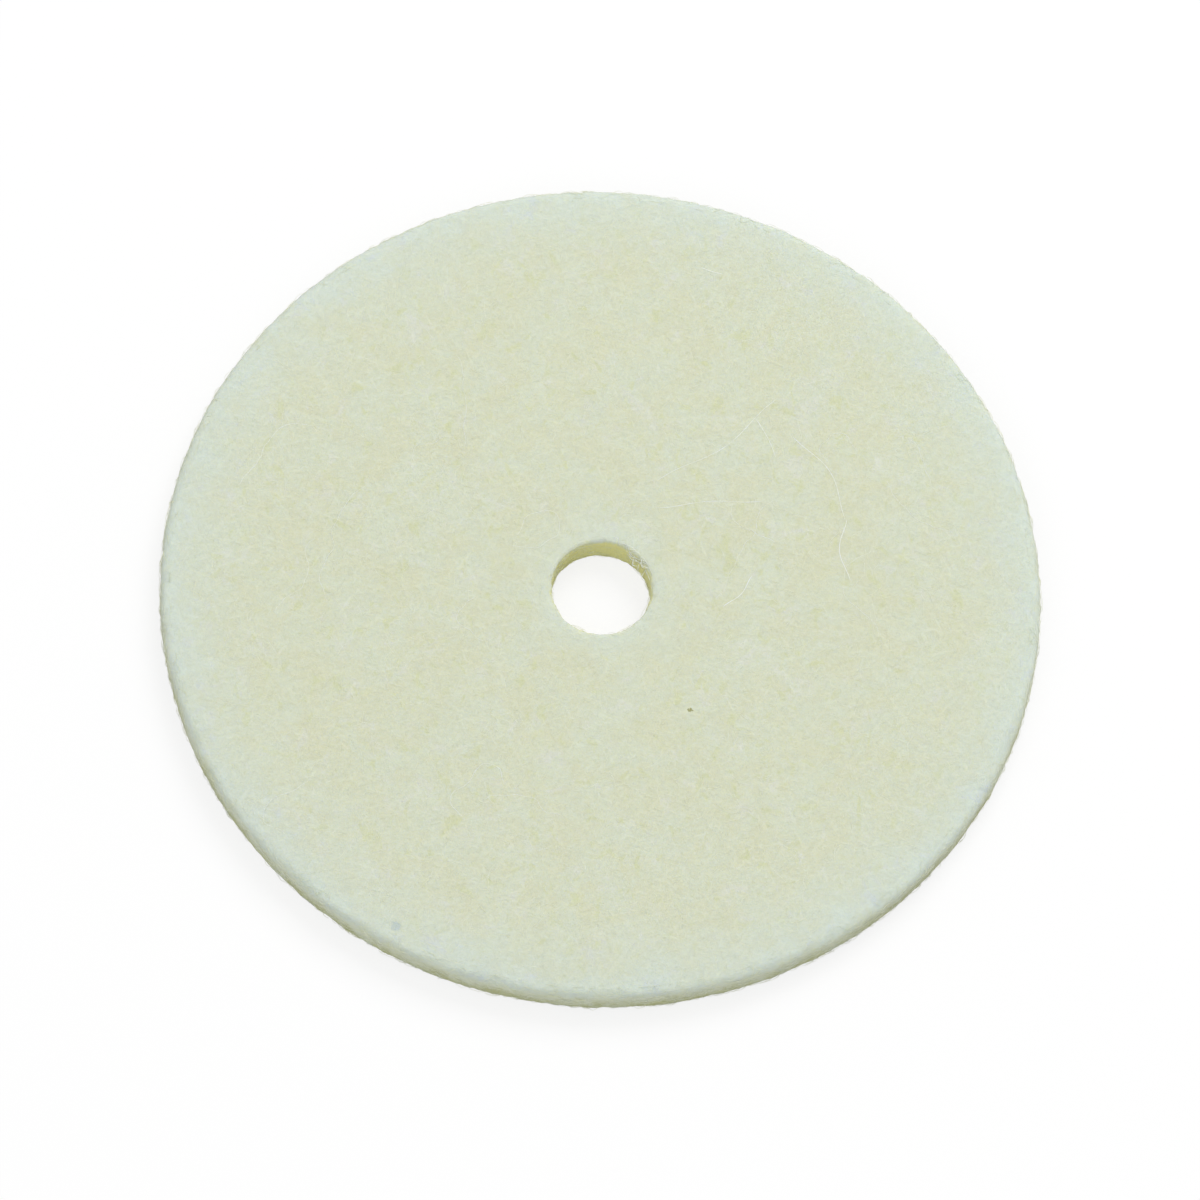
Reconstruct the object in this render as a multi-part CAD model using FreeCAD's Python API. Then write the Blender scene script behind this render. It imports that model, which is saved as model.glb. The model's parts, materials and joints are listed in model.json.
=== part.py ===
import FreeCAD, Part
import math
import os

# Felt polishing wheel: one flat disc die-cut from hard pressed wool felt, with a plain arbor hole.
# Millimetres, +Z up along the arbor. The origin is the middle of the underside, where the
# wheel lies on a bench, so the felt runs from z = 0 up to z = thickness.

# Driving dimensions
wheel_diameter = 114.3    # a 4 1/2 inch wheel
thickness = 4.8           # 3/16 inch felt
arbor_diameter = 12.7     # the 1/2 inch arbor that the wheel is punched for
arbor_clearance = 0.15    # radial slip fit of the hole on that arbor
rim_rounding = 1.2        # the cutting die presses the outer edges round
hole_rounding = 0.4       # the punch does the same, less, at the two ends of the hole

# Derived sizes
wheel_radius = wheel_diameter / 2
hole_radius = arbor_diameter / 2 + arbor_clearance


def quarter_arc(centre_r, centre_z, radius, start_deg):
    """A quarter circle in the r-z plane, from start_deg on to start_deg + 90."""
    points = []
    for turn in (0, 45, 90):
        angle = math.radians(start_deg + turn)
        x = centre_r + radius * math.cos(angle)
        z = centre_z + radius * math.sin(angle)
        points.append(FreeCAD.Vector(x, 0, z))
    return Part.Arc(*points).toShape()


def felt_section():
    """Half of the wheel's section: a flat strip of felt with its four corners rounded."""
    hole_centre = hole_radius + hole_rounding
    rim_centre = wheel_radius - rim_rounding
    corners = [
        quarter_arc(hole_centre, hole_rounding, hole_rounding, 180),
        quarter_arc(rim_centre, rim_rounding, rim_rounding, 270),
        quarter_arc(rim_centre, thickness - rim_rounding, rim_rounding, 0),
        quarter_arc(hole_centre, thickness - hole_rounding, hole_rounding, 90),
    ]
    edges = []
    for corner, following in zip(corners, corners[1:] + corners[:1]):
        leaving = corner.Vertexes[-1].Point
        arriving = following.Vertexes[0].Point
        edges.append(corner)
        edges.append(Part.LineSegment(leaving, arriving).toShape())
    return Part.Face(Part.Wire(edges))


def felt_wheel():
    """The felt disc: its section turned once round the arbor's axis."""
    arbor_axis = FreeCAD.Vector(0, 0, 1)
    return felt_section().revolve(FreeCAD.Vector(0, 0, 0), arbor_axis, 360)


os.makedirs("parts", exist_ok=True)
felt_wheel().exportStep("parts/felt_wheel.step")
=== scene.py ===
import json
import math
import random

import bmesh
import bpy
from mathutils import Matrix, Vector, noise


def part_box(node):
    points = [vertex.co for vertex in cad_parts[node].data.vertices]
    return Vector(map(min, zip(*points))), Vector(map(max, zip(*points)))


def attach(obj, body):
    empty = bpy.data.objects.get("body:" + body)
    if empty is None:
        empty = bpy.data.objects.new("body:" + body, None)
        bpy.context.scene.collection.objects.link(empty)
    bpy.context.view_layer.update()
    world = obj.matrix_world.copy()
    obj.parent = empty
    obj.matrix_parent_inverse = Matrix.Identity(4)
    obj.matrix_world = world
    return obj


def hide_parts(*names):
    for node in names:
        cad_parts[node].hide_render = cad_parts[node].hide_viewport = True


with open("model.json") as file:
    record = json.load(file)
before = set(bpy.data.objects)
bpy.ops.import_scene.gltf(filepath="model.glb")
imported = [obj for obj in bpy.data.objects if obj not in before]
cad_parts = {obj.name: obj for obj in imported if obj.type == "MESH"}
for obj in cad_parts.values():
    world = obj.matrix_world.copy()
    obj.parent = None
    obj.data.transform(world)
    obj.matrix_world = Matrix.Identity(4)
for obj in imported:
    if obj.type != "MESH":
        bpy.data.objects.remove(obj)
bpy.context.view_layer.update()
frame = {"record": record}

scene = bpy.context.scene
mm = 0.001

# ---- Felt wheel: shape --------------------------------------------------------------------
# One disc die-cut from a sheet of hard pressed wool felt. The press leaves both faces flat but
# slightly lumpy where the wool is matted unevenly, and the die drags the cut edges round. The
# cut walls are rougher than the faces, with wisps of the wool's layers standing out of them.

low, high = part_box("felt_wheel")
arbor_hole = next(m for m in frame["record"]["mounts"] if m["name"] == "arbor_hole")
wheel_radius = high.x
hole_radius = arbor_hole["dims"]["r_mm"] * mm
thickness = high.z - low.z
middle = (high.z + low.z) / 2
rim_rounding = 1.2 * mm
hole_rounding = 0.4 * mm
face_relief = 0.045 * mm
wall_relief = 0.11 * mm
edge_relief = 0.18 * mm
edge_fall = 0.25 * mm
fall_width = 6.0 * mm
# How closely the unevenness is set, in waves to the millimetre.
lump_waves = 0.55
lie_waves = 0.06
tuft_waves = 0.8
gouge_waves = 0.22
drag_waves = 0.3
# How finely the mesh is cut, round the wheel and across each surface.
turns_of_mesh = 600
cuts_across_top = 72
cuts_across_underside = 40
cuts_up_walls = 5


def is_corner(edge, inside):
    """True for a sharp circular edge of the hole, or of the rim."""
    near_hole = edge.verts[0].co.xy.length < 2 * hole_radius
    return edge.calc_face_angle(0) > 1 and near_hole == inside


def runs_across(edge, face_z):
    """True for an edge along a radius on the face at face_z, or up a wall where that is None."""
    a, b = (v.co for v in edge.verts)
    if face_z is None:
        return abs(a.z - b.z) > thickness / 3
    on_face = abs(a.z - face_z) < 1e-6 and abs(b.z - face_z) < 1e-6
    return on_face and (a - b).length > wheel_radius / 2


def felt_height(place, upright):
    """How far the felt stands proud of the true disc; upright is 1 on a face and 0 on a wall."""
    p = place / mm
    lumps = noise.fractal(p * lump_waves, 0.9, 2.1, 3)
    lie = noise.noise(p * lie_waves)
    tufts = noise.fractal(Vector((p.x, p.y, p.z * 1.6)) * tuft_waves, 0.8, 2.0, 3)
    gouges = noise.noise(p * gouge_waves)
    on_face = face_relief * (lumps + 1.2 * lie)
    on_wall = wall_relief * (tufts + 0.8 * gouges)
    on_edge = edge_relief * noise.fractal(p * drag_waves, 0.8, 2.1, 3)
    near_rim = max(0, (place.xy.length - wheel_radius + fall_width) / fall_width)
    on_face -= edge_fall * near_rim ** 2
    on_shoulder = on_edge * 4 * upright * (1 - upright)
    return on_face * upright + on_wall * (1 - upright) + on_shoulder


mesh = bmesh.new()
section = [(hole_radius, low.z), (wheel_radius, low.z),
           (wheel_radius, high.z), (hole_radius, high.z)]
corners = [mesh.verts.new((r, 0, z)) for r, z in section]
for i, corner in enumerate(corners):
    mesh.edges.new((corner, corners[i - 1]))
bmesh.ops.spin(mesh, geom=mesh.verts[:] + mesh.edges[:], axis=(0, 0, 1), cent=(0, 0, 0),
               angle=2 * math.pi, steps=turns_of_mesh, use_merge=True)
bmesh.ops.recalc_face_normals(mesh, faces=mesh.faces[:])
for inside, rounding, segments in ((False, rim_rounding, 5), (True, hole_rounding, 2)):
    edges = [e for e in mesh.edges if is_corner(e, inside)]
    bmesh.ops.bevel(mesh, geom=edges, offset=rounding, affect="EDGES", segments=segments,
                    profile=0.5, material=-1)
ways_across = ((high.z, cuts_across_top), (low.z, cuts_across_underside), (None, cuts_up_walls))
for face_z, cuts in ways_across:
    edges = [e for e in mesh.edges if runs_across(e, face_z)]
    bmesh.ops.subdivide_edges(mesh, edges=edges, cuts=cuts, use_grid_fill=True)
bmesh.ops.recalc_face_normals(mesh, faces=mesh.faces[:])
mesh.normal_update()
moves = [v.normal * felt_height(v.co, v.normal.z ** 2) for v in mesh.verts]
for vertex, move in zip(mesh.verts, moves):
    vertex.co += move
for face in mesh.faces:
    face.smooth = True
felt_mesh = bpy.data.meshes.new("pressed_felt_disc")
mesh.to_mesh(felt_mesh)
mesh.free()
felt = bpy.data.objects.new("pressed_felt_disc", felt_mesh)
scene.collection.objects.link(felt)

# ---- Felt wheel: wool ---------------------------------------------------------------------
# Undyed wool, cream with greener and greyer patches where different locks were carded in. The
# faces are paler than the yellower wool that the cut walls lay open. A paler, bluer band near the
# rim and the hole is partly wool crushed by the die and partly painted sheen. The lower cut walls
# carry painted shade: they are darker and more olive towards the table.


def node(tree, kind, inputs, **settings):
    """Adds a node and returns its first output; inputs holds values, or sockets to link."""
    made = tree.nodes.new(kind)
    for name, value in settings.items():
        setattr(made, name, value)
    for key, value in inputs.items():
        if isinstance(value, bpy.types.NodeSocket):
            tree.links.new(value, made.inputs[key])
        else:
            made.inputs[key].default_value = value
    return made.outputs[0]


def millimetres(tree, turn=0, stretch=(1, 1, 1)):
    """The place on the object in millimetres, turned about +Z and stretched for a pattern."""
    coords = tree.nodes.new("ShaderNodeTexCoord")
    scale = [s / mm for s in stretch]
    turned = node(tree, "ShaderNodeMapping", {0: coords.outputs["Object"],
                                              "Rotation": (0, 0, math.radians(turn))})
    return node(tree, "ShaderNodeMapping", {0: turned, "Scale": scale})


def mix(tree, amount, a, b):
    """Two colours mixed: a where amount is 0, and b where it is 1."""
    made = tree.nodes.new("ShaderNodeMix")
    made.data_type = "RGBA"
    for key, value in ((0, amount), (6, a), (7, b)):
        if isinstance(value, bpy.types.NodeSocket):
            tree.links.new(value, made.inputs[key])
        else:
            made.inputs[key].default_value = value
    return made.outputs[2]


def maths(tree, operation, a, b=0.0, clamp=False):
    """One sum on a number, or on two."""
    return node(tree, "ShaderNodeMath", {0: a, 1: b}, operation=operation, use_clamp=clamp)


def ramp(tree, value, low_end, high_end, out_low=0.0, out_high=1.0):
    """A smooth step from out_low to out_high as the value goes from low_end to high_end."""
    ends = {0: value, 1: low_end, 2: high_end, 3: out_low, 4: out_high}
    return node(tree, "ShaderNodeMapRange", ends, interpolation_type="SMOOTHSTEP")


def wool_noise(tree, place, waves, detail=3, roughness=0.6, distortion=0.0):
    """Noise of so many waves to the millimetre."""
    return node(tree, "ShaderNodeTexNoise", {"Vector": place, "Scale": waves, "Detail": detail,
                                             "Roughness": roughness, "Distortion": distortion})


def wool(red, green, blue):
    """A colour as the eye reads it, 0 to 255, as the linear values that a shader takes."""
    channels = [c / 255 for c in (red, green, blue)]
    return [((c + 0.055) / 1.055) ** 2.4 for c in channels] + [1.0]


def new_material(name):
    """An empty material, with its tree and its shader."""
    material = bpy.data.materials.new(name)
    material.use_nodes = True
    tree = material.node_tree
    return material, tree, tree.nodes["Principled BSDF"]


def speck(tree, place, x, y, size):
    """1 at a spot on the upper face, fading to 0 at size millimetres from it."""
    spot = (x, y, high.z / mm)
    apart = node(tree, "ShaderNodeVectorMath", {0: place, 1: spot}, operation="DISTANCE")
    return ramp(tree, apart.node.outputs["Value"], size / 2, size, 1.0, 0.0)


cream = wool(216, 219, 190)
pale_green = wool(215, 222, 200)
grey_lilac = wool(221, 224, 213)
yellow_lock = wool(211, 216, 173)
white_tuft = wool(231, 234, 224)
dark_pit = wool(197, 201, 160)
# The pale, bluish edge colours: partly crushed wool, partly painted sheen.
pressed_edge_and_sheen = wool(214, 225, 213)
blue_edge_and_sheen = wool(211, 222, 219)
cut_wool = wool(222, 229, 202)
# Painted shade: the lower part of the cut walls, darker and more olive towards the table.
cut_wool_painted_shade = wool(194, 198, 144)
deep_wool = wool(238, 236, 163)
seed_brown = wool(166, 166, 118)
dye_blue = wool(200, 212, 206)

felt_material, tree, shader = new_material("pressed_wool_felt")
place = millimetres(tree)
broad = wool_noise(tree, place, 0.16, detail=5, roughness=0.85, distortion=0.4)
patches = ramp(tree, broad, 0.36, 0.64)
colour = mix(tree, patches, cream, pale_green)
grey_wool = wool_noise(tree, place, 0.34, detail=4, roughness=0.7, distortion=0.5)
cool = ramp(tree, grey_wool, 0.54, 0.72, out_high=0.65)
colour = mix(tree, cool, colour, grey_lilac)
aside = node(tree, "ShaderNodeMapping", {0: place, "Location": (31, 17, 5), "Scale": (1, 0.8, 1)})
yellow_wool = wool_noise(tree, aside, 0.5, roughness=0.55, distortion=0.8)
locks = ramp(tree, yellow_wool, 0.56, 0.7, out_high=0.7)
colour = mix(tree, locks, colour, yellow_lock)

coords = node(tree, "ShaderNodeSeparateXYZ", {0: place}).node
x_squared = maths(tree, "POWER", coords.outputs[0], 2.0)
y_squared = maths(tree, "POWER", coords.outputs[1], 2.0)
radius = maths(tree, "SQRT", maths(tree, "ADD", x_squared, y_squared))
rim_mm = wheel_radius / mm
hole_mm = hole_radius / mm
# A band near the rim and the hole, paler and bluer: partly crushed wool, partly painted sheen.
edge_band_from = rim_mm * 0.72
edge_band_width = rim_mm * 0.28
stray_by = 16.0
ragged = wool_noise(tree, place, 0.28, detail=5, roughness=0.75)
stray = maths(tree, "MULTIPLY", maths(tree, "SUBTRACT", ragged, 0.5), stray_by)
reach = maths(tree, "ADD", radius, stray)
past = maths(tree, "SUBTRACT", reach, edge_band_from)
across = maths(tree, "DIVIDE", past, edge_band_width, clamp=True)
to_rim = maths(tree, "POWER", across, 2.6)
to_hole = ramp(tree, radius, hole_mm, hole_mm * 1.75, out_low=0.5, out_high=0.0)
# edges is the mask of this band of painted sheen and crushed wool.
edges = maths(tree, "MAXIMUM", to_rim, to_hole)
edge_tone_and_sheen = mix(tree, ramp(tree, cool, 0.0, 0.5), pressed_edge_and_sheen, blue_edge_and_sheen)
colour = mix(tree, edges, colour, edge_tone_and_sheen)

off_middle = maths(tree, "ABSOLUTE", maths(tree, "SUBTRACT", coords.outputs[2], middle / mm))
off_middle = maths(tree, "ADD", off_middle, maths(tree, "MULTIPLY", stray, 0.12))
half = thickness / mm / 2
in_hole = ramp(tree, radius, hole_mm * 1.02, hole_mm * 1.2, out_low=1.0, out_high=0.0)
core = ramp(tree, off_middle, half - 1.4, half - 0.3, out_low=1.0, out_high=0.0)
below_top = ramp(tree, off_middle, half - 0.65, half, out_low=1.0, out_high=0.0)
bored = maths(tree, "MULTIPLY", in_hole, below_top)
# Painted shade: the cut walls grow darker and more olive from the shoulder down to the table.
up_wall = maths(tree, "ADD", coords.outputs[2], maths(tree, "MULTIPLY", stray, 0.5))
laid_open_and_shade = mix(tree, ramp(tree, up_wall, 0.8, 3.4), cut_wool_painted_shade, cut_wool)
laid_open_and_shade = mix(tree, in_hole, laid_open_and_shade, deep_wool)
colour = mix(tree, maths(tree, "MAXIMUM", core, bored), colour, laid_open_and_shade)

strands = None
for turn in (15, 62, 118, 160):
    along = millimetres(tree, turn, (0.22, 1.9, 1.0))
    wander = wool_noise(tree, along, 0.9, roughness=0.65, distortion=1.2)
    ridge = maths(tree, "ABSOLUTE", maths(tree, "SUBTRACT", wander, 0.5))
    line = ramp(tree, ridge, 0.0, 0.035, out_low=1.0, out_high=0.0)
    strands = line if strands is None else maths(tree, "MAXIMUM", strands, line)
grain = wool_noise(tree, place, 2.4, detail=4, roughness=0.75)
pits = ramp(tree, grain, 0.55, 0.75, out_high=0.4)
tufts = ramp(tree, grain, 0.42, 0.25, out_high=0.3)
colour = mix(tree, maths(tree, "MULTIPLY", strands, 0.15), colour, white_tuft)
colour = mix(tree, pits, colour, dark_pit)
colour = mix(tree, tufts, colour, white_tuft)
wobble = node(tree, "ShaderNodeTexNoise", {"Vector": place, "Scale": 2.0}).node.outputs["Color"]
bend = node(tree, "ShaderNodeVectorMath", {0: wobble, 1: (0.5, 0.5, 0.5)}, operation="SUBTRACT")
bent = node(tree, "ShaderNodeVectorMath", {0: place, 1: bend}, operation="ADD")
seed = speck(tree, bent, 13, -16, 0.35)
dye_fleck = speck(tree, bent, -22, -50, 0.8)
colour = mix(tree, seed, colour, seed_brown)
colour = mix(tree, dye_fleck, colour, dye_blue)

tree.links.new(colour, shader.inputs["Base Color"])
matt = ramp(tree, grain, 0.3, 0.7, out_low=0.86, out_high=0.97)
tree.links.new(matt, shader.inputs["Roughness"])
shader.inputs["Specular IOR Level"].default_value = 0.15
shader.inputs["Sheen Weight"].default_value = 0.12
shader.inputs["Sheen Roughness"].default_value = 0.5
shader.inputs["Subsurface Weight"].default_value = 0.3
shader.inputs["Subsurface Radius"].default_value = (1.0, 0.9, 0.6)
shader.inputs["Subsurface Scale"].default_value = 1.2 * mm
height = maths(tree, "ADD", maths(tree, "MULTIPLY", strands, 0.35), grain)
bump = node(tree, "ShaderNodeBump", {"Height": height, "Strength": 0.8, "Distance": 0.06 * mm})
tree.links.new(bump, shader.inputs["Normal"])
felt_mesh.materials.append(felt_material)

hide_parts("felt_wheel")
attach(felt, "root")

# ---- Loose wool on the faces ---------------------------------------------------------------
# Single wool fibres that the press didn't mat down. Most are short and lie in the nap with
# their ends in the felt. A few long curly ones, paler than the felt, lie half sunk in it.

chance = random.Random(7)
nap_radius = 0.026 * mm
curl_radius = 0.03 * mm
stray_radius = 0.065 * mm
sunk_in_nap = 0.015 * mm
stray_lift = -0.02 * mm


def add_fibres(name, paths, radius, material, kind="POLY"):
    """One mesh of thin round fibres, one along each path, thinned towards its ends."""
    curve = bpy.data.curves.new(name, "CURVE")
    curve.dimensions = "3D"
    curve.bevel_depth = radius
    curve.bevel_resolution = 0
    curve.use_fill_caps = True
    for path in paths:
        spline = curve.splines.new(kind)
        spline.points.add(len(path) - 1)
        spline.order_u = 3
        spline.use_endpoint_u = True
        spline.resolution_u = 2
        last = len(path) - 1
        width = chance.uniform(0.7, 1.25)
        for i, (point, spot) in enumerate(zip(spline.points, path)):
            point.co = (*spot, 1)
            point.radius = width * (0.45 if i in (0, last) else 1)
    source = bpy.data.objects.new(name, curve)
    scene.collection.objects.link(source)
    made = bpy.data.meshes.new_from_object(source)
    bpy.data.objects.remove(source)
    made.name = name
    for face in made.polygons:
        face.use_smooth = True
    wool_piece = bpy.data.objects.new(name, made)
    scene.collection.objects.link(wool_piece)
    made.materials.append(material)
    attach(wool_piece, "root")
    return wool_piece


def crawl(x, y, heading, length, points, curl):
    """A curly line over a face: it turns steadily, and a little at random at every point."""
    step = length / (points - 1)
    line = [(x, y)]
    for _ in range(points - 1):
        heading += curl * step / mm + chance.gauss(0, 0.28)
        x += step * math.cos(heading)
        y += step * math.sin(heading)
        line.append((x, y))
    return line


def lay_on_face(line, face_z, lift):
    """Carries a line on to a face, its ends in the felt and its middle standing proud by lift."""
    side = 1 if face_z > middle else -1
    laid = []
    for i, (x, y) in enumerate(line):
        felt_z = felt_height(Vector((x, y, face_z)), 1.0)
        rise = lift * math.sin(math.pi * i / (len(line) - 1)) - sunk_in_nap
        laid.append(Vector((x, y, face_z + side * (felt_z + rise))))
    return laid


def inside_face(line, margin=1.2 * mm):
    """True where the whole line stays on the flat of the face."""
    return all(hole_radius + margin / 2 < math.hypot(x, y) < wheel_radius - margin for x, y in line)


def face_fibres(count, face_z, shortest, longest, points, curl, proudest):
    """Fibres spread evenly over a face; lengths and proudest, how far they rise, are in mm."""
    paths = []
    while len(paths) < count:
        reach = wheel_radius * math.sqrt(chance.random())
        bearing = chance.uniform(0, 2 * math.pi)
        length = chance.uniform(shortest, longest) * mm
        line = crawl(reach * math.cos(bearing), reach * math.sin(bearing),
                     chance.uniform(0, 2 * math.pi), length, points, chance.gauss(0, curl))
        if inside_face(line):
            paths.append(lay_on_face(line, face_z, chance.uniform(0.0, proudest) * mm))
    return paths


def short_fibres(count, face_z):
    """The nap: short fibres that lie in the felt."""
    return face_fibres(count, face_z, 1.2, 4.2, points=7, curl=0.25, proudest=0.015)


def long_fibres(count, face_z):
    """Long loose fibres, which keep one curve for longer than the short ones."""
    return face_fibres(count, face_z, 8, 20, points=30, curl=0.12, proudest=0.03)


def loose_curl(x, y, way, bend, swing, length):
    """A curl that bends away from its first way and swings once to each side of it."""
    steps = 12
    line = [(x * mm, y * mm)]
    for i in range(steps):
        along = (i + 0.5) / steps
        heading = math.radians(way + bend * along + swing * math.sin(2 * math.pi * along))
        x += length / steps * math.cos(heading)
        y += length / steps * math.sin(heading)
        line.append((x * mm, y * mm))
    return line


# The thickest curls on the upper face. Places and lengths are in millimetres, angles in degrees.
stray_curls = [
    loose_curl(6, 16, way=45, bend=-5, swing=-15, length=20),
    loose_curl(6, 12, way=5, bend=10, swing=10, length=14),
    loose_curl(23, 24, way=-45, bend=-20, swing=15, length=14),
    loose_curl(31, 13, way=-95, bend=25, swing=-15, length=9),
    loose_curl(16, -1, way=50, bend=10, swing=-15, length=6),
    loose_curl(18, 26, way=-50, bend=-20, swing=0, length=6),
    loose_curl(9, 47, way=-20, bend=15, swing=0, length=3),
]


def fibre_material(name, warm, cool_tone):
    """Loose wool, shading from a warm to a cool tone along its length."""
    material, tree, shader = new_material(name)
    shade = wool_noise(tree, millimetres(tree), 0.35, detail=2)
    colour = mix(tree, ramp(tree, shade, 0.4, 0.6), warm, cool_tone)
    tree.links.new(colour, shader.inputs["Base Color"])
    roughness = ramp(tree, shade, 0.3, 0.7, out_low=0.6, out_high=0.8)
    tree.links.new(roughness, shader.inputs["Roughness"])
    shader.inputs["Specular IOR Level"].default_value = 0.25
    shader.inputs["Sheen Weight"].default_value = 0.2
    return material


nap_wool = fibre_material("nap_wool", wool(230, 233, 203), wool(231, 236, 220))
loose_wool = fibre_material("loose_wool", wool(239, 243, 234), wool(238, 243, 245))

nap_top = add_fibres("short_fibres_upper", short_fibres(1900, high.z), nap_radius, nap_wool)
nap_under = add_fibres("short_fibres_lower", short_fibres(1500, low.z), nap_radius, nap_wool)
long_top = long_fibres(16, high.z)
curls_top = add_fibres("long_fibres_upper", long_top, curl_radius, loose_wool, "NURBS")
long_under = long_fibres(24, low.z)
curls_under = add_fibres("long_fibres_lower", long_under, curl_radius, loose_wool, "NURBS")
laid_curls = [lay_on_face(line, high.z, stray_lift) for line in stray_curls]
strays = add_fibres("stray_curls", laid_curls, stray_radius, loose_wool, "NURBS")

# ---- Loose wool on the cut walls ------------------------------------------------------------
# The die cuts across the wool, so the rim and the wall of the hole are fringed with cut ends
# that stand less than half a millimetre out. A few longer loops stand out at the hole's top.

cut_end_radius = 0.02 * mm
wisp_radius = 0.045 * mm
root_depth = 0.12 * mm
fibre_bends = 5


def stand_on_wall(bearing, z, wall_radius, rounding, outward, proud):
    """The place that stands proud of a rounded wall; outward is 1 on the rim and -1 in the hole."""
    over = (abs(z - middle) - thickness / 2 + rounding) / rounding
    tilt = math.asin(min(max(over, 0), 1))
    spot = Vector((math.cos(bearing), math.sin(bearing), 0))
    base = spot * (wall_radius - outward * rounding * (1 - math.cos(tilt))) + Vector((0, 0, z))
    upwards = Vector((0, 0, math.copysign(math.sin(tilt), z - middle)))
    normal = spot * outward * math.cos(tilt) + upwards
    place = base + normal * (felt_height(base, math.sin(tilt) ** 2) + proud)
    place.z = max(place.z, low.z)
    return place


def wall_fibres(count, wall_radius, rounding, outward, tallest, first=0, last=360, lowest=low.z):
    """Short bent fibres rooted in a round wall, between two bearings in degrees."""
    paths = []
    for _ in range(count):
        bearing = math.radians(chance.uniform(first, last))
        z = chance.uniform(lowest + 0.1 * mm, high.z)
        length = chance.uniform(0.8, 2.6) * mm
        slope = chance.gauss(0, 0.5)
        way = chance.choice((-1, 1))
        tall = chance.uniform(0.15, 1.0) ** 2 * tallest
        path = []
        for i in range(fibre_bends + 1):
            along = i / fibre_bends
            turn = bearing + way * along * length * math.cos(slope) / wall_radius
            height = min(max(z + along * length * math.sin(slope), low.z), high.z)
            proud = tall * math.sin(math.pi * 0.85 * along) - root_depth * (along == 0)
            path.append(stand_on_wall(turn, height, wall_radius, rounding, outward, proud))
        paths.append(path)
    return paths


rim_ends = wall_fibres(2800, wheel_radius, rim_rounding, 1, tallest=0.32 * mm)
hole_ends = wall_fibres(220, hole_radius, hole_rounding, -1, tallest=0.4 * mm)
hole_loops = wall_fibres(30, hole_radius, hole_rounding, -1, tallest=1.2 * mm,
                         first=26, last=74, lowest=high.z - 0.9 * mm)
rim_fringe = add_fibres("cut_ends_rim", rim_ends, cut_end_radius, nap_wool)
hole_fringe = add_fibres("cut_ends_hole", hole_ends, cut_end_radius, nap_wool)
hole_wisps = add_fibres("hole_wisps", hole_loops, wisp_radius, loose_wool)

# ---- Studio -------------------------------------------------------------------------------
# A plain white table that keeps the wheel's shadow, a broad lamp above and behind the wheel, a
# weak one in front, and an even pale room. A long lens looks down at the wheel.

under_wheel = 0.05 * mm
floor_mesh = bpy.data.meshes.new("floor")
table = bmesh.new()
bmesh.ops.create_grid(table, x_segments=1, y_segments=1, size=3)
bmesh.ops.translate(table, verts=table.verts, vec=(0, 0, low.z - under_wheel))
table.to_mesh(floor_mesh)
table.free()
floor = bpy.data.objects.new("floor", floor_mesh)
scene.collection.objects.link(floor)

floor_material, tree, shader = new_material("white_table")
shader.inputs["Roughness"].default_value = 0.9
shader.inputs["Specular IOR Level"].default_value = 0.1
rays = tree.nodes.new("ShaderNodeLightPath")
seen = maths(tree, "MAXIMUM", rays.outputs["Is Camera Ray"], rays.outputs["Is Glossy Ray"])
seen = maths(tree, "MAXIMUM", seen, rays.outputs["Is Transmission Ray"])
table_white = mix(tree, seen, (0.6, 0.6, 0.6, 1), (0.95, 0.95, 0.95, 1))
tree.links.new(table_white, shader.inputs["Base Color"])
glow = node(tree, "ShaderNodeEmission", {"Color": (1, 1, 1, 1), "Strength": 1.0})
lit_up = maths(tree, "MULTIPLY", seen, 0.8)
shown = node(tree, "ShaderNodeMixShader", {0: lit_up, 1: shader.outputs[0], 2: glow})
tree.links.new(shown, tree.nodes["Material Output"].inputs["Surface"])
floor_mesh.materials.append(floor_material)


def lamp(name, place, size, watts):
    """A square softbox at a place, facing the wheel."""
    light = bpy.data.lights.new(name, "AREA")
    light.size = size
    light.energy = watts
    softbox = bpy.data.objects.new(name, light)
    facing = Vector(place).to_track_quat("Z", "Y").to_matrix().to_4x4()
    softbox.matrix_world = Matrix.Translation(place) @ facing
    scene.collection.objects.link(softbox)


lamp("softbox_behind", (0.35, 0.80, 1.00), size=0.8, watts=10.3)
lamp("softbox_front", (-0.4, -0.9, 0.9), size=0.9, watts=3.3)

room = bpy.data.worlds.new("room")
room.use_nodes = True
tree = room.node_tree
sky = tree.nodes["Background"]
rays = tree.nodes.new("ShaderNodeLightPath")
daylight = mix(tree, rays.outputs["Is Camera Ray"], (0.55, 0.55, 0.55, 1), (1, 1, 1, 1))
tree.links.new(daylight, sky.inputs["Color"])
scene.world = room

camera_rise = math.radians(66.4)
camera_roll = math.radians(5.57)
camera_distance = 30 * wheel_radius
aim_forward = 1.78 * mm
aim = Vector((0, -aim_forward, high.z))
camera = bpy.data.objects.new("camera", bpy.data.cameras.new("camera"))
camera.data.sensor_width = 36
camera.data.lens = 396.4
camera.data.clip_end = 20
towards = Vector((0, -math.cos(camera_rise), math.sin(camera_rise)))
turned = towards.to_track_quat("Z", "Y").to_matrix() @ Matrix.Rotation(camera_roll, 3, "Z")
camera.matrix_world = Matrix.Translation(aim + towards * camera_distance) @ turned.to_4x4()
scene.collection.objects.link(camera)
scene.camera = camera
scene.view_settings.view_transform = "Standard"
